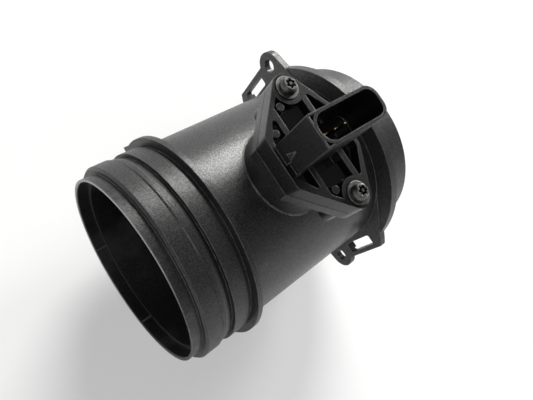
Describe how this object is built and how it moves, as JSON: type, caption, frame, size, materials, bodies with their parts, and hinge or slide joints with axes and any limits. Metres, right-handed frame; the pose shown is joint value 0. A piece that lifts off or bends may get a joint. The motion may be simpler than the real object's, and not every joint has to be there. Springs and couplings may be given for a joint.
{
  "type": "mass airflow sensor",
  "caption": "Round black air meter tube with ribbed hose end, wing flange with screw holes and a plug-in sensor whose ribbed plate carries an oblong connector.",
  "frame": {"origin": "centre of the hose mouth, on the axis of the measuring tube", "axes": "+X along the measuring tube from the hose mouth to the airbox collar, +Z along the plug-in axis of the sensor out of the connector socket, +Y completes the right-handed frame"},
  "size_m": [0.137, 0.1222, 0.1462],
  "materials": {
    "housing_plastic": "fine spark-eroded grain, soft sheen",
    "sensor_plastic": "fine grain, soft sheen",
    "carrier_aluminium": "rolled sheet",
    "board_laminate": "solder resist",
    "chip_silicon": "polished",
    "bead_resin": "dipped resin",
    "seal_rubber": "matt",
    "screw_steel": "dark bright plating",
    "grid_plastic": "as moulded",
    "screen_wire": "bright wire",
    "terminal_gold": "gold flash"
  },
  "bodies": {
    "root": {"tube_housing": "housing_plastic", "sensor_body": "sensor_plastic", "electronics_cover": "sensor_plastic", "bypass_cover": "sensor_plastic", "base_plate": "carrier_aluminium", "circuit_board": "board_laminate", "sensor_chip": "chip_silicon", "temperature_sensor": "bead_resin", "neck_seal": "seal_rubber", "washer_1": "screw_steel", "washer_2": "screw_steel", "mounting_screw_1": "screw_steel", "mounting_screw_2": "screw_steel", "flow_grid": "grid_plastic", "inlet_screen": "screen_wire", "screen_ring": "screen_wire", "terminal_1": "terminal_gold", "terminal_2": "terminal_gold", "terminal_3": "terminal_gold", "terminal_4": "terminal_gold"}
  },
  "joints": []
}
